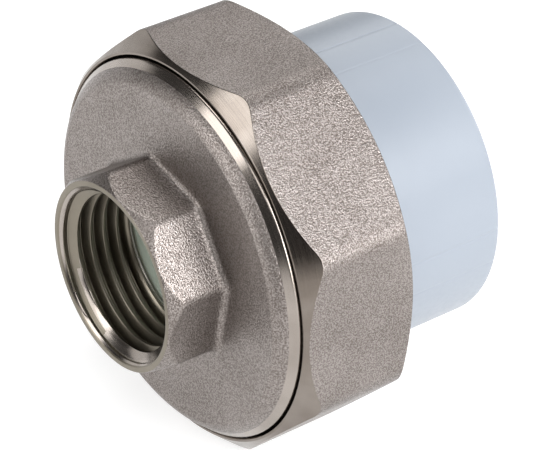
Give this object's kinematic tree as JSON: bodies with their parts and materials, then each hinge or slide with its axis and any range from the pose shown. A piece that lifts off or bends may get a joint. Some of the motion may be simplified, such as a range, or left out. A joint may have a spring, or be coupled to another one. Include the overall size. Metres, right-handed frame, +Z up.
{
  "type": "union fitting",
  "caption": "Pipe union that joins a female pipe thread in a nickel-plated brass end to a solvent-weld plastic socket, drawn together by an octagonal union nut.",
  "frame": {"origin": "on the fitting's axis, midway between the threaded mouth and the socket's end face", "axes": "+X along the fitting's axis towards the pipe socket, so the threaded mouth faces -X; +Z up, at right angles to the nut's flat that the fitting rests on"},
  "size_m": [0.0414, 0.048, 0.048],
  "materials": {
    "plated_casting": "nickel-plated brass, blasted cast skin with turned rims",
    "plated_nut": "nickel-plated brass, grainy cast flats with turned faces",
    "socket_plastic": "pale blue-grey moulded plastic, satin",
    "seal_rubber": "black elastomer, matt"
  },
  "bodies": {
    "threaded_end": {"threaded_end": "plated_casting"},
    "socket_end": {"socket_end": "socket_plastic", "sealing_ring": "seal_rubber"},
    "union_nut": {"union_nut": "plated_nut"}
  },
  "joints": [
    {"name": "nut_turn", "type": "hinge", "parent": "socket_end", "child": "union_nut", "pos_m": [0, 0, 0], "axis": [1, 0, 0], "range_deg": [0, 1440]},
    {"name": "socket_draw", "type": "slide", "parent": "threaded_end", "child": "socket_end", "axis": [1, 0, 0], "range_m": [0, 0.008]}
  ],
  "couplings": [
    {"joint": "socket_draw", "follows": "nut_turn", "m_per_rad": 0.0003183}
  ]
}
